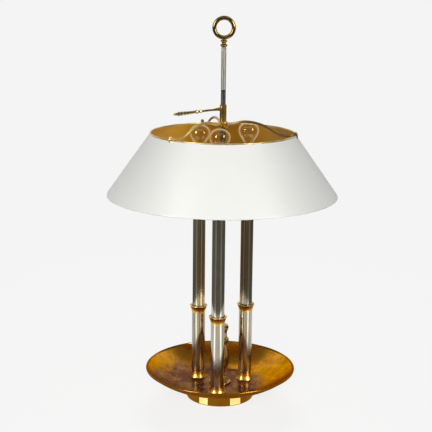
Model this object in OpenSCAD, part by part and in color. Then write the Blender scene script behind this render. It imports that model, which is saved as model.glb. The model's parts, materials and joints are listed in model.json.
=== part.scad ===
// Bouillotte lamp: a dish on a weighted foot carries three candle tubes and a rod with a ring on top.
// A cone shade hangs on a three-armed spider, which turns on a sleeve that slides up and down the rod.
// An arrow-shaped key screws through the sleeve and locks it at any height.
// Millimetres, +Z up, origin at the middle of the foot on the table. The front is towards -Y.

/* [Foot] */
// Outer radius of the foot ring
foot_r = 68; // [64:0.5:72]
// Radius of the cove under the dish
foot_cove = 4.5; // [3:0.5:6]
// Thickness of the felt pad
felt_t = 2; // [1.5:0.5:3]
// How far the felt stands below the foot ring
felt_proud = 0.8; // [0.4:0.1:1.2]
// Thickness of the cover that closes the foot
cover_t = 1.5; // [1:0.5:2]
// Thickness of the cast ballast
ballast_t = 10; // [8:0.5:12]

/* [Dish] */
// Height of the dish's flat floor
floor_z = 27; // [26:0.5:30]
// Width of floor left outside the tubes' feet
floor_margin = 1; // [0.5:0.5:4]
// Radius of the soft corner between floor and wall
dish_fillet = 20; // [10:1:30]
// Slope at which the wall leaves the floor, in degrees
dish_start = 10; // [6:1:14]
// Outer radius of the rim
dish_r = 149.5; // [140:0.5:160]
// Height of the top of the rim
dish_z = 62.5; // [56:0.5:68]
// Thickness of the dish and of the foot ring
sheet = 2; // [1.5:0.1:2.5]
// Radius of the bead rolled round the rim
rim_bead = 1.7; // [1.4:0.1:2.2]

/* [Candle tubes] */
// How far inside the foot ring's outer face the tubes' axes stand
tube_inset = 12.5; // [11:0.5:15]
// Direction of the front tube, in degrees
tube_turn = -96; // [-120:1:-60]
// Outer radius of the lower tubes
lower_r = 13.5; // [12.5:0.1:14.5]
// Outer radius of the upper tubes
upper_r = 12.7; // [12:0.1:13]
// Wall of the tubes
tube_wall = 1; // [0.8:0.1:1.2]
// Radius of the flared feet
flare_r = 18.5; // [17:0.5:20]
// Height of the flared feet
flare_h = 12.5; // [10:0.5:16]
// Height at which the lower tubes end and the mid collars begin
collar_z = 169.5; // [150:0.5:190]
// Height of the mid collars
collar_h = 15; // [12:0.5:20]
// Radius of the mid collars' lips
lip_r = 18.2; // [17:0.1:20]
// Height of the open top of the upper tubes
tube_top = 505; // [495:1:507]
// How much higher the front tube's collar, lampholder and bulb stand
rise_front = 0; // [-5:0.5:3]
// The same for the right tube
rise_right = 2.5; // [-5:0.5:3]
// The same for the left tube
rise_left = -4.5; // [-5:0.5:3]

/* [Bulbs and lampholders] */
// Radius of the bulbs
bulb_r = 20.5; // [18:0.5:22]
// Height of the middle of the bulbs
bulb_z = 534; // [530:0.5:535]
// Radius of the bulbs' necks
neck_r = 7.3; // [7.1:0.1:8]
// Radius of the long hollow curve from bulb to neck
neck_cove = 36; // [30:1:42]
// Length of the bulbs' straight necks
neck_len = 2; // [1.5:0.5:4]
// Thickness of the glass
glass_t = 0.6; // [0.5:0.1:1]
// Radius of the screw caps
cap_r = 7; // [6.8:0.05:7]
// Length of the screw caps
cap_len = 21; // [19:0.5:23]
// Outer radius of the lampholders
holder_r = 11.2; // [10.8:0.1:11.4]
// Depth of the lampholders' cavity below the caps
holder_well = 16; // [12:1:20]
// Thickness of the lampholders' base
holder_base = 15; // [12:1:20]
// Outer radius of the threaded support pipes
pipe_r = 5; // [4.5:0.1:5.5]
// Bore radius of the support pipes
pipe_bore = 4; // [3.5:0.1:4.2]

/* [Rod and ring] */
// Radius of the rod
rod_r = 4.8; // [4.5:0.1:5.2]
// Height of the joint between the rod's two lengths
rod_split = 621.7; // [600:0.1:640]
// Height of the top of the rod
rod_top = 701.3; // [695:0.1:720]
// Height of the turned neck under the ring
neck_h = 14.6; // [14:0.1:20]
// Centre-line radius of the ring
ring_r = 18.4; // [15:0.1:20]
// Radius of the ring's section
ring_wire = 4; // [3.4:0.1:4.2]

/* [Baluster] */
// Radius of the baluster's foot
bal_foot_r = 22.5; // [20:0.5:24]
// Radius of the waist above the foot
waist_r = 9.7; // [8:0.1:11]
// Radius of the belly
belly_r = 18.8; // [17:0.1:21]
// Radius of the knob at the top
knob_r = 16.6; // [14:0.1:18]
// Height of the baluster above the floor
bal_h = 125; // [115:1:130]

/* [Shade] */
// Radius of the shade's bottom
shade_bottom_r = 225; // [200:1:240]
// Radius of the shade's top
shade_top_r = 140; // [130:1:150]
// Height of the shade's bottom edge
shade_bottom_z = 416.6; // [400:0.1:430]
// Height of the shade's top edge
shade_top_z = 539.3; // [537:0.1:541]
// Thickness of the shade
shade_wall = 0.8; // [0.6:0.1:1.2]
// Radius of the brass wire on the top edge
rim_wire = 1.5; // [1.3:0.1:1.8]
// Radius of the rolled hem at the bottom edge
hem_r = 1.3; // [1.1:0.1:1.6]

/* [Slider and key] */
// Outer radius of the sleeve
sleeve_r = 6.8; // [6.3:0.1:7]
// Height of the sleeve's bottom
sleeve_z = 549.5; // [549:0.1:551]
// Length of the sleeve
sleeve_len = 43.5; // [42:0.5:50]
// Radius of the flange that carries the hub
flange_r = 10; // [9:0.1:11]
// Thickness of that flange
flange_t = 2.5; // [2:0.1:3]
// Height of the key's axis above the sleeve's bottom
key_rise = 35.3; // [30:0.1:36]
// Direction of the key, in degrees
key_turn = -134; // [-140:1:-128]
// Radius of the key's shaft
key_r = 2.1; // [1.8:0.1:2.2]
// Length of the key's plain shaft beyond the sleeve
key_shaft = 51; // [45:1:60]
// Radius of the key's shoulder outside the boss
root_r = 3.1; // [2.8:0.1:3.4]
// Length over which the shoulder tapers to the shaft
root_len = 16; // [12:1:20]
// Length of the two beads and the hollow between them
bead_len = 18; // [16:0.5:20]
// Length of the feathers
feather_len = 54; // [50:1:60]
// Half width of the feathers at their widest
feather_r = 4.4; // [4:0.1:4.8]
// Length of the threaded boss on the sleeve
boss_len = 3.5; // [3:0.5:5]

/* [Spider] */
// Outer radius of the hub
hub_r = 11; // [10.5:0.1:12]
// Height of the hub
hub_h = 8; // [7:0.1:9]
// Radius of the round arms where they enter the hub
arm_root_r = 2.7; // [2.4:0.1:2.9]
// Radius of the arms where they lie on the shade
arm_r = 1.9; // [1.7:0.1:2.1]
// Direction of the first arm, in degrees
arm_turn = -13; // [-20:1:-5]
// Distance of the arms' crests from the rod
crest_d = 46; // [40:1:52]
// Rise of the crests above the hub's middle
crest_rise = 5.5; // [5.3:0.1:7]
// Distance from the shade's top edge in to the arms' lowest point
dip_in = 15; // [13:0.5:18]
// Depth of that point below the shade's top edge
dip_drop = 2.3; // [1.5:0.1:3]

/* [Fits] */
// Radial clearance of pieces that run on each other
run_gap = 0.08; // [0.05:0.01:0.1]
// Radial clearance of fixed pieces that are pushed together
fit_gap = 0.05; // [0.02:0.01:0.1]
// Gap between curved faces that only lie against each other
seat_gap = 0.25; // [0.2:0.05:0.3]

/* [Hidden] */
$fn = 64;

// The tubes' circle, and how each tube's height differs
tube_circle = foot_r - tube_inset;
tube_rise = [rise_front, rise_right, rise_left];

// The foot, from the table up
cover_z = felt_t;
ballast_z = cover_z + cover_t;
ballast_top = ballast_z + ballast_t;
under_floor = floor_z - sheet;
foot_in = foot_r - sheet;
nut_r = 9.2;
nut_h = 5;
washer_t = 1;
washer_r = nut_r + 1;
nut_pocket_r = nut_r + 1;
nut_pocket = 5;
bush_z = ballast_z + ballast_t / 2;
bush_r = 4.8;
bush_bore = 3.2;
bush_flange = 6;
bush_len = 8;
notch_r = bush_r + 1.5;
notch_len = 20;
ballast_gap = 0.5;
cover_hole_r = 3;
screw_dip_r = 1.6;

// The dish's wall: an arc from the end of the floor's corner to the rim
floor_r = tube_circle + flare_r + floor_margin;
floor_path = concat([[0, floor_z, 0], [floor_r, floor_z, 0]],
                    arc_path([floor_r, floor_z, 0], dish_fillet, dish_start, 4));
wall_from = floor_path[len(floor_path) - 1];
rim_at = [dish_r - rim_bead, dish_z - rim_bead];
wall_run = rim_at[0] - wall_from[0];
wall_rise = rim_at[1] - wall_from[1];
wall_half = atan2(wall_rise, wall_run) - dish_start;
wall_arc_r = norm([wall_run, wall_rise]) / (2 * sin(wall_half));
dish_path = concat(floor_path, arc_path(wall_from, wall_arc_r, 2 * wall_half, 24));

// The tube stacks, from the floor up
flare_web = 3.5;
lower_z = floor_z + flare_web;
collar_floor = collar_z + 4;
spigot_len = 8;

// Bulb and lampholder, from the bulb's middle down
neck_drop = sqrt(pow(bulb_r + neck_cove, 2) - pow(neck_r + neck_cove, 2));
neck_fall = atan2(neck_drop, neck_r + neck_cove);
glass_z = bulb_z - neck_drop - neck_len;
cap_z = glass_z - cap_len;
tip_len = 3.5;
tip_z = cap_z - tip_len;
holder_floor = cap_z - holder_well;
holder_z = holder_floor - holder_base;
holder_top = glass_z - 1.5;
shell_wall = 0.8;
shell_in = cap_r + 0.1;
pipe_top = holder_floor - 3;
pipe_z = under_floor - washer_t - nut_h - 1;

// Lead wires lie on the ballast and end at the terminal block
lead_r = 2.1;
knuckle_r = lead_r + 0.2;
lead_z = ballast_top + knuckle_r + 0.1;
block_r = 9;
block_h = 8;
block_d = tube_circle - 27.5;
block_turn = tube_angle(2) + 15;

// Rod, neck and ring
rod_z = ballast_z + 0.4;
stud_r = 2.5;
stud_len = 24;
spigot_r = 3;
spigot_up = 7;
stem_r = 2.2;
stem_len = 5;
ring_z = rod_top + neck_h + ring_r + ring_wire;

// Baluster joints above the floor, as parts of its height
bal_joint_1 = floor_z + 0.128 * bal_h;
bal_joint_2 = floor_z + 0.7 * bal_h;
bal_top = floor_z + bal_h;

// Slider, hub and key
hub_z = sleeve_z + flange_t + run_gap;
arm_z = hub_z + hub_h / 2;
key_z = sleeve_z + key_rise;
boss_r = key_r + 1.6;
root_at = sleeve_r + boss_len + 1;
key_tip = rod_r + 0.1;
key_bead_at = sleeve_r + key_shaft;
feather_at = key_bead_at + bead_len;
feather_t = 1.4;
barbs = 7;

// Spider arm, as flat curves: hub to crest, crest to dip, dip to the top of the hook
socket_depth = 3;
arm_from = hub_r - socket_depth;
run_out = socket_depth + 1;
crest_z = arm_z + crest_rise;
dip_d = shade_top_r - dip_in;
dip_z = shade_top_z - dip_drop;
hook_d = shade_top_r + 1;
hook_z = shade_top_z + arm_r + seat_gap;
hook_r = 4;
tail_turn = 84;
tail_len = 4;
ball_r = 3.4;

// The shade's slope
shade_fall = atan2(shade_bottom_z + hem_r - shade_top_z + rim_wire, shade_bottom_r - hem_r - shade_top_r);
shade_path = [
    [shade_top_r, shade_top_z - rim_wire, shade_fall],
    [shade_bottom_r - hem_r, shade_bottom_z + hem_r, shade_fall],
];

// ---- Helpers ----

// Direction of tube i, counted from 1
function tube_angle(i) = tube_turn + 120 * (i - 1);

// A path is a list of [r, z, heading]. This carries on from p along an arc that turns by turn degrees.
function arc_path(p, radius, turn, n) = [
    for (i = [1:n]) let (h = p[2] + turn * i / n, s = sign(turn)) [
        p[0] + s * radius * (sin(h) - sin(p[2])),
        p[1] + s * radius * (cos(p[2]) - cos(h)),
        h
    ]
];

// Outline of a turning through [r, z] keys, eased into beads and hollows between them
function turned(keys, n = 8) = concat(
    [for (i = [0:len(keys) - 2], j = [0:n - 1]) let (a = keys[i], b = keys[i + 1], t = j / n)
        [a[0] + (b[0] - a[0]) * (1 - cos(180 * t)) / 2, a[1] + (b[1] - a[1]) * t]],
    [keys[len(keys) - 1]]);

// Quarter-ellipse hollow from a, where it lies flat, to b, where it stands upright
function cove(a, b, n = 10) = [
    for (i = [0:n]) let (t = 90 * i / n)
        [a[0] + (b[0] - a[0]) * sin(t), b[1] + (a[1] - b[1]) * cos(t)]
];

// Section of a sheet whose upper or outer face follows a path
module sheet_profile(path, t) {
    polygon(concat(
        [for (p = path) [p[0], p[1]]],
        [for (i = [len(path) - 1:-1:0]) let (p = path[i]) [p[0] + t * sin(p[2]), p[1] - t * cos(p[2])]]));
}

// Ring of rectangular section standing on z
module tube(r_out, r_in, z, h) {
    translate([0, 0, z]) difference() {
        cylinder(r = r_out, h = h);
        translate([0, 0, -1]) cylinder(r = r_in, h = h + 2);
    }
}

// Turning round an outline, bored right through
module bored_turning(outline, bore) {
    first = outline[0];
    last = outline[len(outline) - 1];
    rotate_extrude() polygon(concat([[bore, first[1]]], outline, [[bore, last[1]]]));
}

module at_tube(i) rotate([0, 0, tube_angle(i)]) translate([tube_circle, 0, 0]) children();

module each_tube() for (i = [1:3]) at_tube(i) children();

// On a tube's axis, at the height of its own collar and bulb
module at_top(i) at_tube(i) translate([0, 0, tube_rise[i - 1]]) children();

// Hexagonal nut that stands on z
module hex_nut(r, bore, z, h) {
    translate([0, 0, z]) difference() {
        cylinder(r = r, h = h, $fn = 6);
        translate([0, 0, -1]) cylinder(r = bore, h = h + 2);
    }
}

// ---- Foot and dish ----

module felt_pad() color("darkolivegreen") cylinder(r = foot_in - fit_gap, h = felt_t);

module base_cover() color("dimgray") tube(foot_in - fit_gap, cover_hole_r, cover_z, cover_t);

module ballast() color("darkslategray") difference() {
    translate([0, 0, ballast_z]) cylinder(r = foot_in - ballast_gap, h = ballast_t);
    cylinder(r = rod_r + fit_gap, h = ballast_top + 1);
    translate([0, 0, ballast_z - 1]) cylinder(r = nut_pocket_r, h = nut_pocket + 1);
    // way in for the cord
    translate([-notch_r, foot_in - notch_len, ballast_z - 1])
        cube([2 * notch_r, notch_len, ballast_t + 2]);
}

module foot_ring() color("goldenrod") difference() {
    rotate_extrude() polygon(concat(
        [[foot_in, felt_proud], [foot_r, felt_proud], [foot_r, under_floor - foot_cove]],
        [for (t = [15:15:90])
            [foot_r + foot_cove * (1 - cos(t)), under_floor - foot_cove * (1 - sin(t))]],
        [[foot_in, under_floor]]));
    translate([0, foot_r + 1, bush_z]) rotate([90, 0, 0])
        cylinder(r = bush_r + fit_gap, h = sheet + 3);
}

module dish() color("darkgoldenrod") difference() {
    union() {
        rotate_extrude() sheet_profile(dish_path, sheet);
        rotate_extrude() translate([rim_at[0] + sheet / 3, rim_at[1] - sheet / 3]) circle(r = rim_bead);
    }
    translate([0, 0, under_floor - 1]) {
        cylinder(r = rod_r + fit_gap, h = sheet + 2);
        each_tube() cylinder(r = pipe_r + fit_gap, h = sheet + 2);
    }
}

module cord_bushing() color("black") difference() {
    translate([0, foot_r + 2, bush_z]) rotate([90, 0, 0]) {
        cylinder(r = bush_flange, h = 3);
        cylinder(r = bush_r, h = 2 + bush_len);
    }
    translate([0, foot_r + 3, bush_z]) rotate([90, 0, 0]) cylinder(r = bush_bore, h = bush_len + 4);
    // the flange fits the round of the foot, and the barrel passes through it
    difference() {
        translate([0, 0, bush_z - bush_flange - 1]) cylinder(r = foot_r, h = 2 * bush_flange + 2);
        translate([0, foot_r + 3, bush_z]) rotate([90, 0, 0]) cylinder(r = bush_r, h = bush_len + 4);
    }
}

module terminal_block() color("ivory") rotate([0, 0, block_turn]) translate([block_d, 0, ballast_top])
    difference() {
        cylinder(r = block_r, h = block_h);
        for (a = [45:90:315]) rotate([0, 0, a]) translate([block_r * 0.55, 0, block_h - 3])
            cylinder(r = screw_dip_r, h = 4);
    }

module rod_nut() color("silver") {
    rod_nut_top = under_floor - washer_t;
    hex_nut(nut_r, rod_r + fit_gap, ballast_top, rod_nut_top - ballast_top);
    tube(washer_r, rod_r + fit_gap, rod_nut_top, washer_t);
}

module ballast_nut() color("silver")
    hex_nut(nut_r, rod_r + fit_gap, ballast_z + 0.5, nut_pocket - 0.5);

module tube_nuts() color("silver")
    each_tube() hex_nut(nut_r, pipe_r + fit_gap, under_floor - washer_t - nut_h, nut_h);

module tube_washers() color("silver")
    each_tube() tube(washer_r, pipe_r + fit_gap, under_floor - washer_t, washer_t);

// Each lead drops through its pipe, turns on the ballast and runs to the terminal block
module lead_wires() color("saddlebrown") for (i = [1:3]) {
    from = tube_circle * [cos(tube_angle(i)), sin(tube_angle(i))];
    to = block_d * [cos(block_turn), sin(block_turn)];
    way = to - from;
    translate([from[0], from[1], lead_z]) {
        sphere(r = knuckle_r);
        cylinder(r = lead_r, h = pipe_top + tube_rise[i - 1] - lead_z);
        rotate([0, 0, atan2(way[1], way[0])]) rotate([0, 90, 0])
            cylinder(r = lead_r, h = norm(way) - block_r);
    }
}

// ---- Baluster, rod and ring ----

module baluster_foot() color("goldenrod") bored_turning(turned([
    [bal_foot_r, floor_z],
    [bal_foot_r, floor_z + 3],
    [bal_foot_r - 5, floor_z + 5],
    [waist_r, bal_joint_1],
]), rod_r + fit_gap);

module baluster_body() color("goldenrod") bored_turning(turned([
    [waist_r, bal_joint_1],
    [waist_r + 3.5, bal_joint_1 + 3],
    [waist_r + 2.5, bal_joint_1 + 5],
    [belly_r, bal_joint_1 + 0.22 * bal_h],
    [belly_r - 4, bal_joint_2 - 0.03 * bal_h],
    [belly_r - 2.3, bal_joint_2],
]), rod_r + fit_gap);

module baluster_cap() color("goldenrod") bored_turning(turned([
    [belly_r - 2.3, bal_joint_2],
    [belly_r - 1.5, bal_joint_2 + 5],
    [belly_r - 5.6, bal_joint_2 + 10],
    [belly_r - 5.3, bal_joint_2 + 19],
    [knob_r, bal_top - 8],
    [knob_r - 1, bal_top - 4],
    [rod_r + 2, bal_top],
]), rod_r + fit_gap);

module rod_lower() color("dimgray") difference() {
    translate([0, 0, rod_z]) cylinder(r = rod_r, h = rod_split - rod_z);
    translate([0, 0, rod_split - stud_len / 2]) cylinder(r = stud_r + fit_gap, h = stud_len);
}

module rod_upper() color("lightgray") {
    difference() {
        translate([0, 0, rod_split]) cylinder(r = rod_r, h = rod_top - rod_split);
        translate([0, 0, rod_split - 1]) cylinder(r = stud_r + fit_gap, h = stud_len / 2 + 1);
    }
    translate([0, 0, rod_top - 1]) cylinder(r = spigot_r, h = spigot_up + 1);
}

module rod_stud() color("gray") translate([0, 0, rod_split - stud_len / 2])
    cylinder(r = stud_r, h = stud_len);

module ring_neck() color("goldenrod") difference() {
    rotate_extrude() polygon(concat([[0, rod_top]], turned([
        [rod_r - 0.7, rod_top],
        [rod_r + 2.3, rod_top + 0.28 * neck_h],
        [rod_r - 1, rod_top + 0.57 * neck_h],
        [rod_r + 2, rod_top + 0.88 * neck_h],
        [ring_wire, rod_top + neck_h],
    ]), [[0, rod_top + neck_h]]));
    translate([0, 0, rod_top - 1]) cylinder(r = spigot_r + fit_gap, h = spigot_up + 1.1);
    translate([0, 0, rod_top + neck_h - stem_len]) cylinder(r = stem_r + fit_gap, h = stem_len + 1);
}

module carry_ring() color("gold") {
    translate([0, 0, ring_z]) rotate([90, 0, 0]) rotate_extrude()
        translate([ring_r, 0]) circle(r = ring_wire);
    translate([0, 0, rod_top + neck_h - stem_len]) cylinder(r = stem_r, h = stem_len + ring_wire);
}

// ---- Candle tubes, drawn round the middle of their own stack ----

module support_pipe(i) color("silver")
    tube(pipe_r, pipe_bore, pipe_z, pipe_top + tube_rise[i - 1] - pipe_z);

module foot_flare() color("goldenrod") difference() {
    rotate_extrude() polygon(concat(
        [[pipe_r + fit_gap, floor_z], [flare_r, floor_z]],
        cove([flare_r, floor_z + 1.2], [lower_r + 0.8, floor_z + flare_h]),
        [[pipe_r + fit_gap, floor_z + flare_h]]));
    translate([0, 0, lower_z]) cylinder(r = lower_r + fit_gap, h = flare_h);
}

module lower_tube(i) color("lightgray")
    tube(lower_r, lower_r - tube_wall, lower_z, collar_z + tube_rise[i - 1] - lower_z);

// The cup flares slowly at first, then opens towards its lip
module mid_collar() color("goldenrod") {
    bottom_r = lower_r + 0.4;
    seat_r = upper_r + fit_gap;
    spigot = lower_r - tube_wall - fit_gap;
    band = 1.5;
    cup_wall = 1.2;
    cup = [for (i = [0:9]) let (u = i / 9)
        [bottom_r + (lip_r - bottom_r) * pow(u, 1.5), collar_z + band + (collar_h - band) * u]];
    difference() {
        rotate_extrude() polygon(concat(
            [[pipe_r + fit_gap, collar_z - spigot_len], [spigot, collar_z - spigot_len],
             [spigot, collar_z], [bottom_r, collar_z]],
            cup,
            [for (i = [9:-1:4]) [cup[i][0] - cup_wall, cup[i][1]]],
            [[seat_r, collar_floor + 2], [seat_r, collar_floor], [pipe_r + fit_gap, collar_floor]]));
        translate([0, 0, collar_z - spigot_len - 1]) cylinder(r = spigot - 1.5, h = spigot_len + 1);
    }
}

module upper_tube() color("lightgray")
    tube(upper_r, upper_r - tube_wall, collar_floor, tube_top - collar_floor);

module lampholder() color("ivory") difference() {
    translate([0, 0, holder_z]) cylinder(r = holder_r, h = holder_top - holder_z);
    translate([0, 0, holder_z - 1]) cylinder(r = pipe_r + fit_gap, h = pipe_top - holder_z + 1);
    translate([0, 0, pipe_top - 1]) cylinder(r = pipe_bore, h = holder_floor - pipe_top + 2);
    translate([0, 0, holder_floor]) cylinder(r = shell_in + shell_wall + fit_gap, h = holder_top);
}

module socket_shell() color("goldenrod")
    tube(shell_in + shell_wall, shell_in, holder_floor, holder_top - 2 - holder_floor);

// A leaf that stands beside the pipe's mouth and bends in under the bulb's tip
module socket_contact() color("gold") rotate([90, 0, 0]) linear_extrude(height = 4, center = true) {
    translate([pipe_bore + 0.3, holder_floor]) square([0.8, holder_well - tip_len - 0.3]);
    translate([-1.5, tip_z - 1.1]) square([pipe_bore + 2.6, 0.8]);
}

module bulb_cap() color("silver") {
    difference() {
        translate([0, 0, cap_z]) cylinder(r = cap_r, h = cap_len);
        translate([0, 0, cap_z + 1]) cylinder(r = cap_r - 0.5, h = cap_len);
    }
    translate([0, 0, tip_z]) cylinder(r1 = 2.4, r2 = 5.5, h = tip_len);
}

module bulb_glass() color("white", 0.3) {
    top = [0, bulb_z + bulb_r, 0];
    ball = arc_path(top, bulb_r, -90 - neck_fall, 30);
    cove_end = arc_path(ball[len(ball) - 1], neck_cove, neck_fall, 12);
    rotate_extrude() sheet_profile(concat([top], ball, cove_end, [[neck_r, glass_z, -90]]), glass_t);
}

// Glass stem with a flared foot, which carries the filament
module bulb_mounts() color("white", 0.5) for (i = [1:3]) at_top(i) rotate_extrude() polygon([
    [0, glass_z], [neck_r - glass_t - 0.2, glass_z], [neck_r - glass_t - 0.2, glass_z + 1],
    [2, glass_z + 7], [1.6, bulb_z - 8], [2.2, bulb_z - 6], [0, bulb_z - 4],
]);

// ---- Slider and key ----

module along_key() rotate([0, 0, key_turn]) translate([0, 0, key_z]) rotate([0, 90, 0]) children();

module slider_sleeve() color("goldenrod") difference() {
    union() {
        translate([0, 0, sleeve_z]) rotate_extrude() polygon([
            [0, 0], [flange_r - 0.6, 0], [flange_r, 0.6], [flange_r, flange_t], [sleeve_r, flange_t],
            [sleeve_r, sleeve_len - 0.8], [sleeve_r - 0.8, sleeve_len], [0, sleeve_len],
        ]);
        along_key() cylinder(r = boss_r, h = sleeve_r + boss_len);
    }
    translate([0, 0, sleeve_z - 1]) cylinder(r = rod_r + run_gap, h = sleeve_len + 2);
    along_key() cylinder(r = key_r + run_gap, h = sleeve_r + boss_len + 1);
}

// Sawtooth edge of the feathers: swept back from the sleeve, widening outwards and drawn in to the tip
function feather_width(u) = feather_r * (u < 0.82 ? 0.68 + 0.39 * u : 1 - 3.3 * (u - 0.82));

function barb_edge() = [
    for (i = [0:barbs - 1], p = [[0, 0.78], [0.75, 1], [0.85, 0.8]])
        let (u = (i + p[0]) / barbs) [feather_at + feather_len * u, feather_width(u) * p[1]]
];

module feather() {
    edge = barb_edge();
    end = feather_at + feather_len;
    linear_extrude(height = feather_t, center = true) polygon(concat(
        edge,
        [[end, feather_width(1)], [end, -feather_width(1)]],
        [for (i = [len(edge) - 1:-1:0]) [edge[i][0], -edge[i][1]]]));
}

module arrow_key() color("darkgoldenrod") {
    along_key() rotate_extrude() polygon(concat([[0, key_tip]], turned([
        [key_r, key_tip],
        [key_r, root_at],
        [root_r, root_at + 1],
        [key_r, root_at + root_len],
        [key_r, key_bead_at],
        [key_r + 1.1, key_bead_at + 0.16 * bead_len],
        [key_r, key_bead_at + 0.42 * bead_len],
        [key_r + 1.5, key_bead_at + 0.76 * bead_len],
        [key_r, feather_at],
        [key_r - 0.2, feather_at + feather_len - 2],
        [key_r - 0.8, feather_at + feather_len + 1.5],
    ], 6), [[0, feather_at + feather_len + 1.5]]));
    rotate([0, 0, key_turn]) translate([0, 0, key_z]) {
        feather();
        rotate([90, 0, 0]) feather();
    }
}

// ---- Spider ----

// Reversed curve that starts and ends level, rises by rise and runs on by run.
// The first of its two arcs takes the given share of the bend's radius.
function level_curve(p, run, rise, share, n) =
    let (turn = 2 * atan2(rise, run), radius = abs(run / sin(turn)),
         first = arc_path(p, radius * share, turn, n))
    concat(first, arc_path(first[n - 1], radius * (1 - share), -turn, n));

// Centre line of an arm: level in the hub, over the crest, down to the dip, over the shade's edge and down
function arm_path() =
    let (a = [arm_from + run_out, arm_z, 0],
         b = level_curve(a, crest_d - a[0], crest_rise, 0.5, 5),
         c = level_curve(b[len(b) - 1], dip_d - crest_d, dip_z - crest_z, 0.66, 7),
         d = level_curve(c[len(c) - 1], hook_d - dip_d, hook_z - dip_z, 0.7, 5),
         e = arc_path(d[len(d) - 1], hook_r, -tail_turn, 6),
         f = e[len(e) - 1])
    concat([[arm_from, arm_z, 0], a], b, c, d, e,
           [[f[0] + tail_len * cos(f[2]), f[1] + tail_len * sin(f[2]), f[2]]]);

// Round wire along a path in the XZ plane. It keeps its radius to the second point, then tapers evenly.
module wire(path, r_from, r_to, sides = 14) {
    rings = len(path);
    points = [for (i = [0:rings - 1], k = [0:sides - 1])
        let (p = path[i], t = 360 * k / sides, r = r_from + (r_to - r_from) * max(i - 1, 0) / (rings - 2))
        [p[0] - r * cos(t) * sin(p[2]), r * sin(t), p[1] + r * cos(t) * cos(p[2])]];
    walls = [for (i = [0:rings - 2], k = [0:sides - 1]) let (n = (k + 1) % sides)
        [i * sides + k, i * sides + n, (i + 1) * sides + n, (i + 1) * sides + k]];
    polyhedron(points, concat(walls,
        [[for (k = [sides - 1:-1:0]) k]],
        [[for (k = [0:sides - 1]) (rings - 1) * sides + k]]));
}

// The ball sits on the bend over the shade's edge
module spider_arm(i) color("darkgoldenrod") rotate([0, 0, arm_turn + 120 * (i - 1)]) {
    wire(arm_path(), arm_root_r, arm_r);
    translate([hook_d + 1.2, 0, hook_z + 0.8]) sphere(r = ball_r);
}

module spider_hub() color("goldenrod") difference() {
    rotate_extrude() polygon(concat(
        [[sleeve_r + run_gap, hub_z]],
        turned([
            [hub_r - 2, hub_z], [hub_r, hub_z + 2], [hub_r, hub_z + hub_h - 2], [hub_r - 2.5, hub_z + hub_h],
        ], 4),
        [[sleeve_r + run_gap, hub_z + hub_h]]));
    for (i = [1:3]) rotate([0, 0, arm_turn + 120 * (i - 1)]) translate([arm_from, 0, arm_z])
        rotate([0, 90, 0]) cylinder(r = arm_root_r + fit_gap, h = hub_r);
}

// ---- Shade ----

module shade_section() sheet_profile(shade_path, shade_wall);

module shade_shell() color("white") {
    rotate_extrude() shade_section();
    rotate_extrude() translate([shade_path[1][0], shade_path[1][1]]) circle(r = hem_r);
}

module shade_rim() color("goldenrod") rotate_extrude() difference() {
    translate([shade_path[0][0], shade_path[0][1]]) circle(r = rim_wire);
    shade_section();
}

felt_pad();
base_cover();
ballast();
foot_ring();
dish();
cord_bushing();
terminal_block();
rod_nut();
ballast_nut();
tube_nuts();
tube_washers();
lead_wires();
baluster_foot();
baluster_body();
baluster_cap();
rod_lower();
rod_upper();
rod_stud();
ring_neck();
carry_ring();
for (i = [1:3]) {
    at_tube(i) support_pipe(i);
    at_tube(i) foot_flare();
    at_tube(i) lower_tube(i);
    at_top(i) mid_collar();
    at_top(i) upper_tube();
    at_top(i) lampholder();
    at_top(i) socket_shell();
    at_top(i) bulb_cap();
    at_top(i) bulb_glass();
}
for (i = [1:3]) at_top(i) socket_contact();  // socket_contacts
bulb_mounts();
slider_sleeve();
arrow_key();
spider_hub();
for (i = [1:3])
    spider_arm(i);
shade_shell();
shade_rim();
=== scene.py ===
"""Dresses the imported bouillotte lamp: turned brass, tarnished nickel, clear bulbs, a lacquered shade
and the studio."""
import json
import math

import bpy
from mathutils import Matrix, Vector


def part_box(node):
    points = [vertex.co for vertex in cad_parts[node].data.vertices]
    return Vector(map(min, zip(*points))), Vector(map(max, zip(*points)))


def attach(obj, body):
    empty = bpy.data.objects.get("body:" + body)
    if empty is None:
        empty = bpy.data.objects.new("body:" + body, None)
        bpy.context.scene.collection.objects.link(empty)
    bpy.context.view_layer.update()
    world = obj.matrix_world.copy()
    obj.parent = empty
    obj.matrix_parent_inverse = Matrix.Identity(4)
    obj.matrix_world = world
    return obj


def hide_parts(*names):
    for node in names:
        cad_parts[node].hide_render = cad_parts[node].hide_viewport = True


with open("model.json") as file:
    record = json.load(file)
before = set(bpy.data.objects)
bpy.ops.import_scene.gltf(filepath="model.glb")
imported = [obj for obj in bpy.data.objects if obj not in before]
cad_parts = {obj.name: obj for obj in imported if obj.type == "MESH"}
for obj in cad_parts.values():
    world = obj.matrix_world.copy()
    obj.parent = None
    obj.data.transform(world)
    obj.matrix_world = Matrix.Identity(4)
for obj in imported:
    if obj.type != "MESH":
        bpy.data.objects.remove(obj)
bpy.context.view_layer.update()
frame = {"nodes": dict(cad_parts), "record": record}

MM = 0.001
SEGMENTS = 128
TRIO = (1, 2, 3)  # numbers of the tubes, arms and bulbs


# ---- Sizes that the frame gives ----

def middle(node):
    """A node's centre."""
    lo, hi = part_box(node)
    return (lo + hi) / 2


def radius(node):
    """A round node's outer radius."""
    lo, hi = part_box(node)
    return (hi.x - lo.x) / 2


def low(node):
    """Height of a node's lowest point."""
    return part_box(node)[0].z


def high(node):
    """Height of a node's highest point."""
    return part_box(node)[1].z


# ---- Outlines, as (r, z) points ----

def shares(steps):
    """Even shares from 0 to 1."""
    return [k / steps for k in range(steps + 1)]


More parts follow.
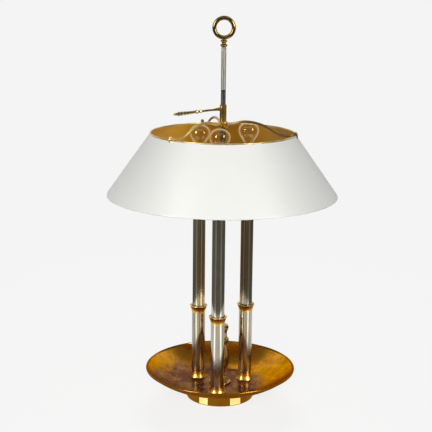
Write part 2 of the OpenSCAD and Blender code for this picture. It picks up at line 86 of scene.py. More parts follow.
def arc_path(start, bend, turn, steps):
    """Carries a path of (r, z, heading) points on along an arc that turns by turn degrees."""
    r, z, heading = start
    side = math.copysign(1, turn)
    points = []
    for t in shares(steps)[1:]:
        h = heading + math.radians(turn) * t
        points.append((r + side * bend * (math.sin(h) - math.sin(heading)),
                       z + side * bend * (math.cos(heading) - math.cos(h)), h))
    return points


def level_bend(start, to_r, to_z, share, steps):
    """Carries a level path on to a point where it is level again. The first of its two arcs takes share."""
    run, rise = to_r - start[0], to_z - start[1]
    turn = 2 * math.atan2(rise, run)
    bend = abs(run / math.sin(turn))
    first = arc_path(start, bend * share, math.degrees(turn), steps)
    return first + arc_path(first[-1], bend * (1 - share), -math.degrees(turn), steps)


def with_headings(points):
    """Adds to each (r, z) point its curve's direction: level at the first, straight down at the last."""
    path = []
    for i, (r, z) in enumerate(points):
        before, after = points[max(i - 1, 0)], points[min(i + 1, len(points) - 1)]
        path.append((r, z, math.atan2(after[1] - before[1], after[0] - before[0])))
    first, last = path[0], path[-1]
    return [(first[0], first[1], 0.0)] + path[1:-1] + [(last[0], last[1], -math.pi / 2)]


def sheet_outline(path, thickness):
    """Closed outline of a sheet whose upper or outer face follows a path."""
    face = [(r, z) for r, z, _ in path]
    back = [(r + thickness * math.sin(h), z - thickness * math.cos(h)) for r, z, h in reversed(path)]
    return face + back


def eased(keys, steps=12):
    """A turning through (r, z) keys, eased into beads and hollows between them."""
    points = []
    for (r0, z0), (r1, z1) in zip(keys, keys[1:]):
        for t in shares(steps)[:-1]:
            points.append((r0 + (r1 - r0) * (1 - math.cos(math.pi * t)) / 2, z0 + (z1 - z0) * t))
    return points + [keys[-1]]


def turned(profile, base, top):
    """Eased turning from base to top through (r, share of the height) keys."""
    return eased([(r, base + share * (top - base)) for r, share in profile])


def bead(r, z, size, first, last, steps=10):
    """Round bead of the given size about (r, z), from one angle to another in degrees."""
    angles = [math.radians(first + (last - first) * t) for t in shares(steps)]
    return [(r + size * math.cos(a), z + size * math.sin(a)) for a in angles]


# ---- Meshes ----

def finish_mesh(name, verts, faces, material, sharp=35):
    """A smooth piece, on which edges over sharp degrees stay crisp."""
    mesh = bpy.data.meshes.new(name)
    mesh.from_pydata(verts, [], faces)
    mesh.validate()
    mesh.shade_smooth()
    mesh.set_sharp_from_angle(angle=math.radians(sharp))
    mesh.materials.append(material)
    piece = bpy.data.objects.new(name, mesh)
    bpy.context.scene.collection.objects.link(piece)
    return piece


def lathe(name, outline, material, at=(0, 0), closed=True, sharp=35, segments=SEGMENTS):
    """Turns an outline of (r, z) points round a vertical axis, with its solid on the outline's left."""
    verts, rings = [], []
    for r, z in outline:
        if r < 1e-6:
            rings.append([len(verts)] * segments)
            verts.append((at[0], at[1], z))
        else:
            rings.append(list(range(len(verts), len(verts) + segments)))
            for k in range(segments):
                a = 2 * math.pi * k / segments
                verts.append((at[0] + r * math.cos(a), at[1] + r * math.sin(a), z))
    pairs = list(zip(rings, rings[1:]))
    if closed:
        pairs.append((rings[-1], rings[0]))
    faces = []
    for below, above in pairs:
        for k in range(segments):
            n = (k + 1) % segments
            corners = []
            for v in (below[k], below[n], above[n], above[k]):
                if v not in corners:
                    corners.append(v)
            if len(corners) > 2:
                faces.append(corners)
    return finish_mesh(name, verts, faces, material, sharp)


def wire(name, points, size, material, sides):
    """Round wire through 3-D points, with closed ends. Its radius is one number, or a list along it."""
    points = [Vector(p) for p in points]
    sizes = size if isinstance(size, list) else [size] * len(points)
    verts, faces = [], []
    side = None
    for i, p in enumerate(points):
        along = (points[min(i + 1, len(points) - 1)] - points[max(i - 1, 0)]).normalized()
        if side is None:
            side = along.orthogonal().normalized()
        side = (side - along * side.dot(along)).normalized()
        up = along.cross(side)
        for k in range(sides):
            a = 2 * math.pi * k / sides
            verts.append(p + sizes[i] * (side * math.cos(a) + up * math.sin(a)))
    for i in range(len(points) - 1):
        for k in range(sides):
            n = (k + 1) % sides
            faces.append((i * sides + k, i * sides + n, (i + 1) * sides + n, (i + 1) * sides + k))
    faces.append(list(range(sides))[::-1])
    faces.append(list(range((len(points) - 1) * sides, len(points) * sides)))
    return finish_mesh(name, verts, faces, material, sharp=50)


def joined(name, parts):
    """Makes one piece of several."""
    with bpy.context.temp_override(active_object=parts[0], selected_editable_objects=parts):
        bpy.ops.object.join()
    parts[0].name = name
    return parts[0]


def place(piece, body, slot, *nodes):
    """The piece rides on a body and stands for CAD nodes, which it hides. Its slot is not used."""
    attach(piece, body)
    if nodes:
        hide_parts(*nodes)


# ---- Materials ----

TUBE_RING = middle("upper_tube_1").to_2d().length
COLLAR_SEAT = high("lower_tube_1")


class Shader:
    """Nodes of a material or the world, built from short calls. Inputs are numbers, colours or sockets."""

    def __init__(self, name, kind="Material"):
        owners = {"Material": bpy.data.materials, "World": bpy.data.worlds}
        self.owner = owners[kind].new(name)
        self.owner.use_nodes = True
        self.tree = self.owner.node_tree
        self.tree.nodes.clear()
        self.output = self.tree.nodes.new(f"ShaderNodeOutput{kind}")

    def put(self, socket, value):
        """Links a socket to an input, or sets its value."""
        if isinstance(value, bpy.types.NodeSocket):
            self.tree.links.new(value, socket)
        elif isinstance(value, tuple) and len(value) == 3 and len(socket.default_value) == 4:
            socket.default_value = (*value, 1)
        else:
            socket.default_value = value

    def node(self, kind, inputs, **settings):
        """Adds a node with its settings and inputs."""
        node = self.tree.nodes.new(kind)
        for key, value in settings.items():
            setattr(node, key, value)
        for key, value in inputs.items():
            self.put(node.inputs[key], value)
        return node

    def finish(self, shader):
        """Puts a shader on the surface and gives the material or world."""
        self.tree.links.new(shader.outputs[0], self.output.inputs["Surface"])
        return self.owner

    def surface(self, **inputs):
        """Finishes with the principled shader. Underscores stand for the spaces in its inputs' names."""
        names = {key.replace("_", " "): value for key, value in inputs.items()}
        return self.finish(self.node("ShaderNodeBsdfPrincipled", names))

    def at(self):
        """Object coordinates."""
        return self.node("ShaderNodeTexCoord", {}).outputs["Object"]

    def along(self, axis):
        """One object coordinate."""
        return self.node("ShaderNodeSeparateXYZ", {"Vector": self.at()}).outputs[axis]

    def from_axis(self):
        """Distance from the lamp's axis."""
        x, y = self.along("X"), self.along("Y")
        square = self.maths("ADD", self.maths("MULTIPLY", x, x), self.maths("MULTIPLY", y, y))
        return self.maths("SQRT", square)

    def facing_up(self):
        """Upward part of the surface's normal: 1 on top, -1 underneath."""
        normal = self.node("ShaderNodeNewGeometry", {}).outputs["Normal"]
        return self.node("ShaderNodeSeparateXYZ", {"Vector": normal}).outputs["Z"]

    def backfacing(self):
        """1 on a surface's back and 0 on its front."""
        return self.node("ShaderNodeNewGeometry", {}).outputs["Backfacing"]

    def seen(self):
        """1 for the rays of the camera, mirrors and glass, and 0 for the rest."""
        rays = self.node("ShaderNodeLightPath", {}).outputs
        direct = self.maths("MAXIMUM", rays["Is Camera Ray"], rays["Is Glossy Ray"])
        return self.maths("MAXIMUM", direct, rays["Is Transmission Ray"])

    def noise(self, scale, detail, roughness, stretch=(1, 1, 1), distortion=0.0):
        """Cloudy pattern from 0 to 1. A small stretch along an axis draws it out that way."""
        vector = self.node("ShaderNodeMapping", {"Vector": self.at(), "Scale": stretch}).outputs["Vector"]
        return self.node("ShaderNodeTexNoise", {
            "Vector": vector, "Scale": scale, "Detail": detail,
            "Roughness": roughness, "Distortion": distortion}).outputs["Fac"]

    def mix(self, factor, a, b, how="MIX"):
        """Mixes two colours."""
        node = self.tree.nodes.new("ShaderNodeMix")
        node.data_type = "RGBA"
        node.blend_type = how
        self.put(node.inputs["Factor"], factor)
        self.put(node.inputs["A"], a)
        self.put(node.inputs["B"], b)
        return node.outputs["Result"]

    def blend(self, factor, first, second):
        """Mixes two shaders."""
        node = self.tree.nodes.new("ShaderNodeMixShader")
        self.put(node.inputs["Fac"], factor)
        self.tree.links.new(first.outputs[0], node.inputs[1])
        self.tree.links.new(second.outputs[0], node.inputs[2])
        return node

    def maths(self, how, a, b=0.0, clamp=False):
        """One step of arithmetic, kept within 0 and 1 where clamp says so."""
        node = self.tree.nodes.new("ShaderNodeMath")
        node.operation = how
        node.use_clamp = clamp
        self.put(node.inputs[0], a)
        self.put(node.inputs[1], b)
        return node.outputs[0]

    def rescale(self, value, lo, hi, to_lo=0.0, to_hi=1.0):
        """Brings lo to hi onto to_lo to to_hi, and stays within them."""
        return self.node("ShaderNodeMapRange", {
            "Value": value, "From Min": lo, "From Max": hi, "To Min": to_lo, "To Max": to_hi,
        }).outputs["Result"]

    def bump(self, height, strength, distance):
        """Normal of a surface with fine relief."""
        return self.node("ShaderNodeBump", {
            "Height": height, "Strength": strength, "Distance": distance}).outputs["Normal"]


def aged_metal(name, bright, dark, gloss, patch, wear=0.5, stretch=(1, 1, 1)):
    """Polished metal with cloudy tarnish, fine scratches and smudged gloss."""
    s = Shader(name)
    clouds = s.noise(patch, 6, 0.6, stretch, 0.4)
    grain = s.noise(900, 3, 0.6)
    colour = s.mix(s.rescale(clouds, 0.5 - wear / 4, 0.5 + wear / 3), bright, dark)
    colour = s.mix(s.rescale(grain, 0.3, 0.7, 0.0, 0.12), colour, dark)
    return s.surface(Base_Color=colour, Metallic=1.0, Roughness=s.rescale(clouds, 0.3, 0.7, *gloss),
                     Normal=s.bump(grain, 0.04, 0.2 * MM))


def tube_nickel():
    """Nickel plate gone grey and brown, with upright streaks, smudges and freckles. It is duller near the
    dish.
    Painted reflection of the dish browns it towards the lamp's axis; painted light makes the left upper tube
    paler."""
    s = Shader("nickel_tube")
    streaks = s.noise(60, 5, 0.6, (1, 1, 0.06))
    clouds = s.noise(14, 5, 0.6, (1, 1, 0.6), 0.6)
    freckles = s.noise(420, 3, 0.6)
    smudges = s.noise(34, 4, 0.6, (1, 1, 0.35), 0.5)
    grey, brown = (0.45, 0.45, 0.40), (0.42, 0.32, 0.18)
    pale, stained = (0.78, 0.72, 0.60), (0.42, 0.37, 0.28)
    # painted reflection: brown is painted where the tubes face the lamp's axis, for the dish they see there,
    # on top of a random brown tone
    dish_reflection_side = s.rescale(s.from_axis(), TUBE_RING + 4 * MM, TUBE_RING - 9 * MM, 0.0, 0.7)
    warm = s.maths("ADD", s.rescale(clouds, 0.38, 0.62, 0.0, 0.5), dish_reflection_side, clamp=True)
    low_down = s.rescale(s.along("Z"), 100 * MM, 55 * MM)
    colour = s.mix(low_down, s.mix(warm, grey, brown), s.mix(s.rescale(clouds, 0.4, 0.6), pale, stained))
    for pattern, lo, hi, share, stain in (
        (smudges, 0.47, 0.65, 0.3, (0.20, 0.19, 0.165)),
        (streaks, 0.48, 0.75, 0.6, (0.18, 0.14, 0.09)),
        (freckles, 0.60, 0.72, 0.5, (0.11, 0.09, 0.06)),
    ):
        colour = s.mix(s.rescale(pattern, lo, hi, 0.0, share), colour, stain)
    # painted light: the left upper tube is made paler
    over_collar = s.rescale(s.along("Z"), COLLAR_SEAT - 1 * MM, COLLAR_SEAT)
    lit_upper_left = s.maths("MULTIPLY", s.rescale(s.along("X"), 0.0, -20 * MM), over_collar)
    colour = s.mix(lit_upper_left, colour, (1.22, 1.22, 1.20), "MULTIPLY")
    dull = s.rescale(s.along("Z"), 140 * MM, 80 * MM, 0.0, 0.20)
    rough = s.maths("ADD", s.rescale(streaks, 0.3, 0.7, 0.04, 0.10), dull)
    return s.surface(Base_Color=colour, Metallic=1.0, Roughness=rough,
                     Normal=s.bump(freckles, 0.05, 0.2 * MM))


def dish_brass():
    """Spun brass with faint spinning lines: orange gold on the wall, and on the floor a crust of purple
    and copper patina, which reaches further to the left and the front. Painted shade darkens the rolled rim,
    and painted light gives the underside a paler gold."""
    s = Shader("dish_brass")
    out = s.from_axis()
    blotch = s.noise(11, 6, 0.62, distortion=0.8)
    speck = s.noise(60, 6, 0.7)
    gold, deep_gold, shaded_rim_gold = (0.74, 0.34, 0.035), (0.43, 0.17, 0.015), (0.22, 0.11, 0.02)
    copper, purple, scuffed = (0.30, 0.165, 0.080), (0.115, 0.045, 0.042), (0.50, 0.23, 0.07)
    lit_underside_gold = (0.62, 0.42, 0.15)
    leaning = s.maths("ADD", out, s.maths("MULTIPLY", s.along("X"), 0.22))
    leaning = s.maths("ADD", leaning, s.maths("MULTIPLY", s.along("Y"), 0.15))
    ragged = s.maths("ADD", s.rescale(blotch, 0.3, 0.7, -20 * MM, 20 * MM),
                     s.rescale(speck, 0.3, 0.7, -10 * MM, 10 * MM))
    wander = s.maths("ADD", leaning, ragged)
    crust_edge = (90 * MM, 114 * MM)
    stain = s.mix(s.rescale(blotch, 0.37, 0.51), copper, purple)
    stain = s.mix(s.rescale(speck, 0.47, 0.66, 0.0, 0.75), stain, scuffed)
    colour = s.mix(s.rescale(wander, *crust_edge), stain, s.mix(s.rescale(speck, 0.35, 0.7), gold, deep_gold))
    # painted shade: the rolled rim darkens towards its edge
    colour = s.mix(s.rescale(out, 145.5 * MM, 147.5 * MM, 0.0, 0.75), colour, shaded_rim_gold)
    # painted light: a paler, less saturated gold where the surface faces down
    colour = s.mix(s.rescale(s.facing_up(), -0.2, -0.4), colour, lit_underside_gold)
    rings = s.node("ShaderNodeTexWave", {
        "Vector": s.at(), "Scale": 160.0, "Distortion": 0.6, "Detail": 1.0,
    }, wave_type="RINGS", rings_direction="Z").outputs["Fac"]
    return s.surface(Base_Color=colour, Metallic=s.rescale(wander, *crust_edge, 0.75, 1.0),
                     Roughness=s.rescale(speck, 0.3, 0.75, 0.12, 0.32), Specular_Tint=(0.64, 0.43, 0.19),
                     Normal=s.bump(rings, 0.03, 0.1 * MM))


def rod_nickel():
    """Brushed nickel, grey and almost matt."""
    s = Shader("nickel_rod")
    brush = s.noise(300, 3, 0.6, (1, 1, 0.04))
    clouds = s.noise(24, 4, 0.6, (1, 1, 0.3))
    colour = s.mix(s.rescale(clouds, 0.35, 0.65), (0.43, 0.415, 0.37), (0.36, 0.34, 0.29))
    return s.surface(Base_Color=colour, Metallic=0.9, Roughness=s.rescale(brush, 0.3, 0.7, 0.34, 0.44),
                     Normal=s.bump(brush, 0.03, 0.1 * MM))


def collar_brass():
    """Satin brass of collars and flared feet; painted highlights on the collars' lips, painted dark shade
    under them.
    """
    s = Shader("collar_brass")
    clouds = s.noise(45, 6, 0.6, distortion=0.4)
    colour = s.mix(s.rescale(clouds, 0.375, 0.67), (0.92, 0.58, 0.15), (0.60, 0.31, 0.06))
    # painted shade: dark amber where the surface faces down, under the lips
    shaded_under_lip = s.rescale(s.facing_up(), -0.20, -0.42, 0.0, 0.95)
    colour = s.mix(shaded_under_lip, colour, (0.29, 0.095, 0.010))
    # painted highlight: a pale gold on the collars' upward faces
    over_feet = s.rescale(s.along("Z"), 100 * MM, 110 * MM)
    lip = s.maths("MULTIPLY", s.rescale(s.facing_up(), 0.1, 0.5), over_feet)
    colour = s.mix(lip, colour, (1.0, 0.86, 0.55))
    return s.surface(Base_Color=colour, Metallic=1.0, Roughness=s.rescale(clouds, 0.3, 0.7, 0.28, 0.38))


def arm_brass():
    """Satin brass of the spider's arms, in a painted lit copy on the left arm and a painted shaded one on the
    others.
    """
    s = Shader("arm_brass")
    clouds = s.noise(30, 6, 0.6, distortion=0.4)
    cover = s.rescale(clouds, 0.375, 0.70)
    lit_gold = s.mix(cover, (1.0, 0.72, 0.28), (0.74, 0.47, 0.14))
    brown = s.mix(cover, (0.25, 0.155, 0.045), (0.12, 0.07, 0.016))
    # painted light and shade: lit gold on the left arm, brown on the right and the rear one
    side = s.maths("ADD", s.along("X"), s.maths("MULTIPLY", s.along("Y"), 0.8))
    colour = s.mix(s.rescale(side, 0.0, 30 * MM), lit_gold, brown)
    return s.surface(Base_Color=colour, Metallic=1.0, Roughness=s.rescale(clouds, 0.3, 0.7, 0.27, 0.40))


def shade_white():
    """White lacquer with a faint orange peel."""
    s = Shader("shade_white")
    tone = s.noise(6, 3, 0.5)
    peel = s.noise(700, 2, 0.5)
    colour = s.mix(s.rescale(tone, 0.35, 0.65), (0.88, 0.88, 0.855), (0.855, 0.855, 0.825))
    return s.surface(Base_Color=colour, Roughness=s.rescale(tone, 0.3, 0.7, 0.38, 0.46),
                     Diffuse_Roughness=0.4, Coat_Weight=0.15, Coat_Roughness=0.25,
                     Normal=s.bump(peel, 0.02, 0.2 * MM))


def shade_gold():
    """Gold lacquer inside the shade, with painted shade that makes it deeper on the right."""
    s = Shader("shade_gold")
    tone = s.noise(7, 5, 0.6, distortion=0.5)
    fine = s.noise(240, 3, 0.6)
    cloudy = s.rescale(tone, 0.3, 0.7)
    left = s.mix(cloudy, (0.68, 0.36, 0.022), (0.54, 0.26, 0.014))
    right = s.mix(cloudy, (0.44, 0.24, 0.024), (0.33, 0.155, 0.012))
    # painted shade: the right side of the lining is darker
    colour = s.mix(s.rescale(s.along("X"), -120 * MM, 120 * MM), left, right)
    return s.surface(Base_Color=colour, Metallic=1.0, Roughness=s.rescale(fine, 0.3, 0.7, 0.40, 0.52),
                     Normal=s.bump(fine, 0.05, 0.3 * MM))


def clear_glass(name, shine, edge):
    """Thin blown glass, clear in the middle. Edge is the strength of its pale outlines, a painted reflection
    of the shade's gold, and shine that of the crisp warm highlights on its outside."""
    s = Shader(name)
    wave = s.noise(35, 2, 0.5)
    normal = s.bump(wave, 0.02, 1 * MM)
    facing = s.node("ShaderNodeLayerWeight", {"Blend": 0.5, "Normal": normal}).outputs["Facing"]
    # painted reflection: amber outlines at the glass's edges stand in for the gold round the bulbs
    outline = s.rescale(facing, 0.36, 0.62, 0.0, edge)
    amber = {"Color": (1.0, 0.72, 0.36)}
    tint = s.mix(wave, (0.99, 0.99, 0.99), (0.97, 0.975, 0.98))
    clear = s.node("ShaderNodeBsdfTransparent", {"Color": tint})
    pale = s.node("ShaderNodeBsdfTranslucent", amber)
    edge_reflection_diffuse = s.node("ShaderNodeBsdfDiffuse", amber)
    mirror = s.node("ShaderNodeBsdfGlossy", {"Color": (1.0, 0.82, 0.50), "Roughness": 0.03, "Normal": normal})
    body = s.blend(outline, clear, s.blend(0.5, pale, edge_reflection_diffuse))
    outside = s.maths("SUBTRACT", 1.0, s.backfacing())
    return s.finish(s.blend(s.maths("MULTIPLY", outside, shine), body, mirror))


def plain(name, light, dark, rough, scale, bump=0.1, metallic=0.0):
    """Moulded, cast or woven finish with a fine two-tone grain."""
    s = Shader(name)
    grain = s.noise(scale, 5, 0.6)
    colour = s.mix(s.rescale(grain, 0.3, 0.7), light, dark)
    return s.surface(Base_Color=colour, Metallic=metallic,
                     Roughness=s.rescale(grain, 0.3, 0.7, rough, rough + 0.12),
                     Normal=s.bump(grain, bump, 0.4 * MM))


def cold_filament():
    """Tungsten wire, unlit."""
    s = Shader("filament")
    colour = s.mix(s.noise(2000, 2, 0.5), (0.24, 0.15, 0.06), (0.15, 0.09, 0.035))
    return s.surface(Base_Color=colour, Metallic=1.0, Roughness=0.35)


# For each slot: name, light and dark colour, roughness, scale of the grain, its relief, metallic
PLAIN = {
    "felt": ("green_felt", (0.07, 0.11, 0.06), (0.03, 0.06, 0.03), 0.85, 900, 0.6),
    "cover_steel": ("black_steel", (0.05, 0.05, 0.05), (0.02, 0.02, 0.02), 0.45, 200),
    "iron": ("cast_iron", (0.13, 0.12, 0.12), (0.05, 0.05, 0.05), 0.65, 260, 0.7, 0.6),
    "black_plastic": ("black_moulding", (0.03, 0.03, 0.03), (0.015, 0.015, 0.015), 0.4, 500),
    "cream_plastic": ("cream_moulding", (0.78, 0.74, 0.64), (0.70, 0.65, 0.55), 0.3, 300),
    "cable_sheath": ("cable_sheath", (0.22, 0.13, 0.07), (0.15, 0.09, 0.05), 0.5, 400),
}
# For each slot and the key: bright and dark colour, range of roughness, scale of tarnish, wear, stretch
AGED = {
    "foot_brass": ((0.80, 0.52, 0.12), (0.62, 0.36, 0.07), (0.05, 0.12), 14),
    "zinc_steel": ((0.62, 0.63, 0.64), (0.42, 0.42, 0.41), (0.25, 0.4), 60),
    "baluster_brass": ((0.62, 0.38, 0.11), (0.24, 0.12, 0.035), (0.12, 0.30), 34, 0.6),
    "dark_steel": ((0.26, 0.27, 0.28), (0.10, 0.10, 0.10), (0.18, 0.34), 40, 0.6, (1, 1, 0.2)),
    "finial_brass": ((0.33, 0.225, 0.065), (0.12, 0.080, 0.020), (0.09, 0.18), 60),
    "contact_brass": ((0.80, 0.62, 0.26), (0.55, 0.40, 0.15), (0.2, 0.35), 90),
    "cap_aluminium": ((0.80, 0.80, 0.80), (0.55, 0.55, 0.54), (0.25, 0.4), 90),
    "slider_brass": ((0.80, 0.56, 0.16), (0.30, 0.185, 0.04), (0.12, 0.26), 55, 0.6),
    "rim_brass": ((0.76, 0.63, 0.28), (0.50, 0.38, 0.12), (0.30, 0.42), 60),
    "key_brass": ((0.92, 0.68, 0.27), (0.15, 0.085, 0.018), (0.08, 0.22), 210),
}
finishes = {slot: plain(*values) for slot, values in PLAIN.items()}
finishes.update({slot: aged_metal(slot, *values) for slot, values in AGED.items()})
finishes.update({
    "dish_brass": dish_brass(),
    "nickel_rod": rod_nickel(),
    "nickel_tube": tube_nickel(),
    "collar_brass": collar_brass(),
    "arm_brass": arm_brass(),
    "shade_paint": shade_white(),
    "shade_gold": shade_gold(),
    "bulb_glass": clear_glass("bulb_glass", 0.07, 0.50),
    "bulb_glass_inside": clear_glass("bulb_glass_inside", 0.0, 0.30),
    "stem_glass": clear_glass("stem_glass", 0.0, 0.06),
    "filament": cold_filament(),
})

slots = {part["node"]: part["material_slot"] for part in frame["record"]["subparts"]}
for name, piece in frame["nodes"].items():
    for slot in piece.material_slots:
        slot.material = finishes[slots[name]]


# ---- Dish ----

SNUG = 0.05 * MM  # gap between a rod or tube and what sits round it
DISH_SHEET = 2 * MM
FLOOR_MARGIN = 1 * MM
FLOOR_FILLET = 20 * MM
WALL_SLOPE = 10
RIM_BEAD = 1.7 * MM
RIM_ROLL = 120


def make_dish():
    """Spun bowl with a flat floor, an arc of a wall and a rolled rim."""
    floor_z = low("foot_flare_1")
    floor_r = middle("foot_flare_1").to_2d().length + radius("foot_flare_1") + FLOOR_MARGIN
    corner = arc_path((floor_r, floor_z, 0.0), FLOOR_FILLET, WALL_SLOPE, 8)
    start = corner[-1]
    centre = (radius("dish") - RIM_BEAD, high("dish") - RIM_BEAD)
    run, rise = centre[0] - DISH_SHEET / 3 - start[0], centre[1] + DISH_SHEET / 3 - start[1]
    half = math.atan2(rise, run) - start[2]
    wall = arc_path(start, math.hypot(run, rise) / (2 * math.sin(half)), math.degrees(2 * half), 48)
    hole = radius("rod_lower") + SNUG
    path = [(hole, floor_z, 0.0), (floor_r, floor_z, 0.0)] + corner + wall
    outline = sheet_outline(path, DISH_SHEET)
    last = len(path) - 1
    slope = math.degrees(path[last][2])
    rolled = bead(*centre, RIM_BEAD, slope + RIM_ROLL, slope - RIM_ROLL, 20)
    outline = outline[:last] + rolled + outline[last + 2:]
    piece = lathe("dish_bowl", outline[::-1], finishes["dish_brass"], segments=192)
    place(piece, "base", "dish_brass", "dish")


make_dish()


# ---- Candle tubes ----

PROUD = 0.4 * MM  # the slim ends of flares and collars stand off the lower tube by this
TOUCH = 0.02 * MM
SOFT_EDGE = 0.4 * MM
FLARE_WALL = 2 * MM
FLARE_EDGE = 0.9 * MM
FLARE_CURVE = 1.8
CUP_BAND = 1.5 * MM
CUP_CURVE = 1.5
CUP_WALL = 1.2 * MM
CUP_FLOOR = (4 * MM, 6 * MM)
CUP_HOLE = 3 * MM
CUP_STEPS = 24


def make_flare(i, at, tube_r):
    """Foot of a tube: a trumpet with a softened edge, whose bore lies hidden in the tube."""
    flare = f"foot_flare_{i}"
    base, top, wide = low(flare), high(flare), radius(flare)
    slim, edge, bore = tube_r + PROUD, base + FLARE_EDGE, tube_r - FLARE_WALL
    outline = [(bore, base), (wide - SOFT_EDGE, base), (wide, base + SOFT_EDGE)]
    outline += [(slim + (wide - slim) * (1 - t) ** FLARE_CURVE, edge + (top - edge) * t)
                for t in shares(CUP_STEPS)]
    outline += [(tube_r + TOUCH, top), (bore, top - FLARE_WALL / 2)]
    piece = lathe(f"foot_trumpet_{i}", outline, finishes["collar_brass"], at)
    place(piece, "base", "collar_brass", flare)


def make_collar(i, at, tube_r):
    """Cup with a rounded lip, which stands on a lower tube and holds the upper one."""
    collar = f"mid_collar_{i}"
    seat, top, lip = high(f"lower_tube_{i}"), high(collar), radius(collar)
    slim, band, hole = tube_r + PROUD, seat + CUP_BAND, tube_r - CUP_HOLE
    inside = radius(f"upper_tube_{i}") + SNUG
    cup = [(slim + (lip - slim) * t ** CUP_CURVE, band + (top - band) * t) for t in shares(CUP_STEPS)[:-1]]
    outline = [(hole, seat), (slim - SOFT_EDGE / 2, seat)] + cup
    outline += bead(lip - CUP_WALL / 2, top - CUP_WALL / 2, CUP_WALL / 2, -30, 170)
    outline += [(r - CUP_WALL, z) for r, z in reversed(cup[CUP_STEPS // 3:])]
    outline += [(inside, seat + CUP_FLOOR[1]), (inside, seat + CUP_FLOOR[0]), (hole, seat + CUP_FLOOR[0])]
    piece = lathe(f"collar_cup_{i}", outline, finishes["collar_brass"], at)
    place(piece, "base", "collar_brass", collar)


for i in TRIO:
    tube = f"lower_tube_{i}"
    make_flare(i, middle(tube).to_2d(), radius(tube))
    make_collar(i, middle(tube).to_2d(), radius(tube))


# ---- Baluster and the ring's neck ----

FOOT_BEAD = 1.4 * MM


def make_baluster():
    """Turned column round the rod: moulded foot, pear-shaped belly, ring and knob."""
    rod, wide, belly = radius("rod_lower"), radius("baluster_foot"), radius("baluster_body")
    bore, base, top = rod + 2 * SNUG, low("baluster_foot"), high("baluster_cap")
    outline = [(bore, base), (wide - 0.5 * MM, base)]
    outline += bead(wide - FOOT_BEAD, base + FOOT_BEAD, FOOT_BEAD, -80, 85)
    outline += turned([
        (wide - 2.6 * MM, 0.026), (wide - 4 * MM, 0.036), (wide - 5.5 * MM, 0.045),
        (9.7 * MM, 0.128), (13.4 * MM, 0.15), (12.0 * MM, 0.168),
        (belly, 0.348), (belly - 4 * MM, 0.67),
        (belly - 2.2 * MM, 0.70), (belly - 1.6 * MM, 0.735),
        (belly - 5.5 * MM, 0.78), (belly - 5.2 * MM, 0.85),
        (belly - 2.2 * MM, 0.935), (belly - 3.4 * MM, 0.968), (rod + 2 * MM, 1.0),
    ], base, top)
    outline += [(bore, top)]
    piece = lathe("baluster_turning", outline, finishes["baluster_brass"], segments=96)
    place(piece, "base", "baluster_brass", "baluster_foot", "baluster_body", "baluster_cap")


def make_neck():
    """Turned neck under the carrying ring: two beads with a waist between them."""
    rod, base, top = radius("rod_upper"), low("ring_neck"), high("ring_neck")
    outline = [(0, base)] + turned([
        (rod - 0.7 * MM, 0.0), (rod + 2.3 * MM, 0.28), (rod - 1.0 * MM, 0.57),
        (rod + 2.0 * MM, 0.88), (4.0 * MM, 1.0),
    ], base, top) + [(0, top)]
    piece = lathe("finial_neck", outline, finishes["finial_brass"], segments=96)
    place(piece, "base", "finial_brass", "ring_neck")


make_baluster()
make_neck()


# ---- Shade ----

SHADE_TOP_R = 140 * MM
SHADE_WALL = 0.8 * MM
RIM_WIRE = 1.5 * MM
HEM = 1.3 * MM
HEM_ROLL = 290


def make_shade():
    """White outside, with a hem that rolls inwards flush with the cone, and gold inside, as two skins that
    fill the sheet's thickness."""
    top = high("shade_rim") - RIM_WIRE
    hem_r, hem_z = radius("shade_shell") - HEM, low("shade_shell") + HEM
    run, rise = hem_r - SHADE_TOP_R, hem_z - top
    slope = math.atan2(rise, run) + math.asin(HEM / math.hypot(rise, run))
    out = (-math.sin(slope), math.cos(slope))
    foot_r, foot_z = hem_r + out[0] * HEM, hem_z + out[1] * HEM

    def cone(depth):
        """Points down the cone, set in by depth."""
        return [(SHADE_TOP_R + (foot_r - SHADE_TOP_R) * t - out[0] * depth,
                 top + (foot_z - top) * t - out[1] * depth) for t in shares(24)]

    square = math.degrees(slope) + 90
    rolled = bead(hem_r, hem_z, HEM, square, square - HEM_ROLL, 20)
    between = cone(SHADE_WALL / 2)
    outside = cone(0)[:-1] + rolled + between[:-1][::-1]
    piece = lathe("shade_outside", outside[::-1], finishes["shade_paint"], segments=256, sharp=50)
    place(piece, "shade", "shade_paint", "shade_shell")
    inside = between + cone(SHADE_WALL)[::-1]
    piece = lathe("shade_inside", inside[::-1], finishes["shade_gold"], segments=256)
    place(piece, "shade", "shade_paint", "shade_shell")


make_shade()


# ---- Spider: arms and hub ----

ARM_ROOT = 2.7 * MM
ARM_TIP = 1.9 * MM
ARM_INSIDE_HUB = 3 * MM
ARM_STRAIGHT = 1 * MM
ARM_CREST = (46 * MM, 5.5 * MM)  # distance from the rod, and height over the hub's middle
ARM_DIP = (15 * MM, 2.3 * MM)  # distance inside the shade's rim, and depth under its top
ARM_OVER_RIM = (1 * MM, 0.25 * MM)  # distance outside the rim, and gap over its wire
HOOK = 4 * MM
HOOK_TURN = -84
FIRST_ARM, ARM_STEP = -13, 120
KNOB = 3.4 * MM
KNOB_SHIFT = (1.2 * MM, 0.8 * MM)
HUB_BORE = 6.9 * MM


